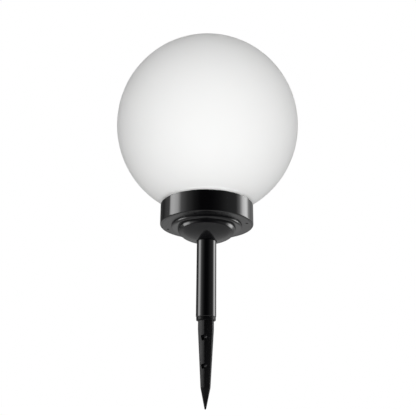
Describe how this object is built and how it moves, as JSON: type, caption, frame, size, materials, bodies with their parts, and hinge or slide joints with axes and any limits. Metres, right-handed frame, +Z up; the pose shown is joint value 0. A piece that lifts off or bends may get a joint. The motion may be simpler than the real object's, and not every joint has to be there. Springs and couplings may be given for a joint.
{
  "type": "solar spike light",
  "caption": "Solar garden light: a milky white globe on a black collar that holds the panel, cell and lamps, on a short tube with a ground spike.",
  "frame": {"origin": "on the vertical axis at the ground line, the underside of the spike's flange", "axes": "+Z up from the spike to the globe, -Y towards the viewer of the picture"},
  "size_m": [0.25, 0.25, 0.5],
  "materials": {
    "spike_black": "moulded satin",
    "tube_black": "extruded gloss",
    "cover_black": "fine texture",
    "collar_black": "moulded gloss",
    "deck_black": "moulded",
    "globe_white": "milky satin",
    "seal_rubber": "matte",
    "screw_black": "black oxide",
    "screw_steel": "zinc plated",
    "board_green": "solder mask",
    "board_white": "white solder mask",
    "cell_blue": "silicon",
    "window_clear": "clear resin",
    "lamp_white": "moulded",
    "chip_black": "moulded",
    "ferrite_grey": "sintered",
    "can_silver": "drawn",
    "holder_black": "moulded",
    "battery_wrap": "plastic sleeve",
    "contact_nickel": "nickel plated",
    "switch_black": "moulded",
    "button_grey": "matte",
    "lead_plastic": "sleeved wire"
  },
  "bodies": {
    "spike": {"ground_spike": "spike_black"},
    "pole": {"pole_tube": "tube_black"},
    "base": {"collar": "collar_black", "base_cover": "cover_black", "deck": "deck_black", "cover_gasket": "seal_rubber", "globe_seal": "seal_rubber", "solar_board": "board_white", "solar_cells": "cell_blue", "solar_window": "window_clear", "led_board": "board_white", "leds": "lamp_white", "control_board": "board_green", "driver_chip": "chip_black", "inductor": "ferrite_grey", "capacitor": "can_silver", "battery_holder": "holder_black", "battery_cell": "battery_wrap", "contact_positive": "contact_nickel", "contact_negative": "contact_nickel", "inner_screws": "screw_steel", "switch_body": "switch_black", "switch_washer": "seal_rubber", "solar_leads": "lead_plastic", "led_leads": "lead_plastic", "battery_leads": "lead_plastic", "switch_leads": "lead_plastic", "cover_screws": "screw_black"},
    "globe": {"globe": "globe_white"},
    "button": {"switch_button": "button_grey"}
  },
  "joints": [
    {"name": "pole_lift", "type": "slide", "parent": "spike", "child": "pole", "axis": [0, 0, 1], "range_m": [0, 0.03]},
    {"name": "head_lift", "type": "slide", "parent": "pole", "child": "base", "axis": [0, 0, 1], "range_m": [0, 0.026]},
    {"name": "globe_twist", "type": "hinge", "parent": "base", "child": "globe", "pos_m": [0, 0, 0.148], "axis": [0, 0, 1], "range_deg": [0, 40]},
    {"name": "switch_press", "type": "slide", "parent": "base", "child": "button", "axis": [0, 0, 1], "range_m": [0, 0.0015], "stiffness_N_per_m": 400, "springref_m": -0.001}
  ]
}
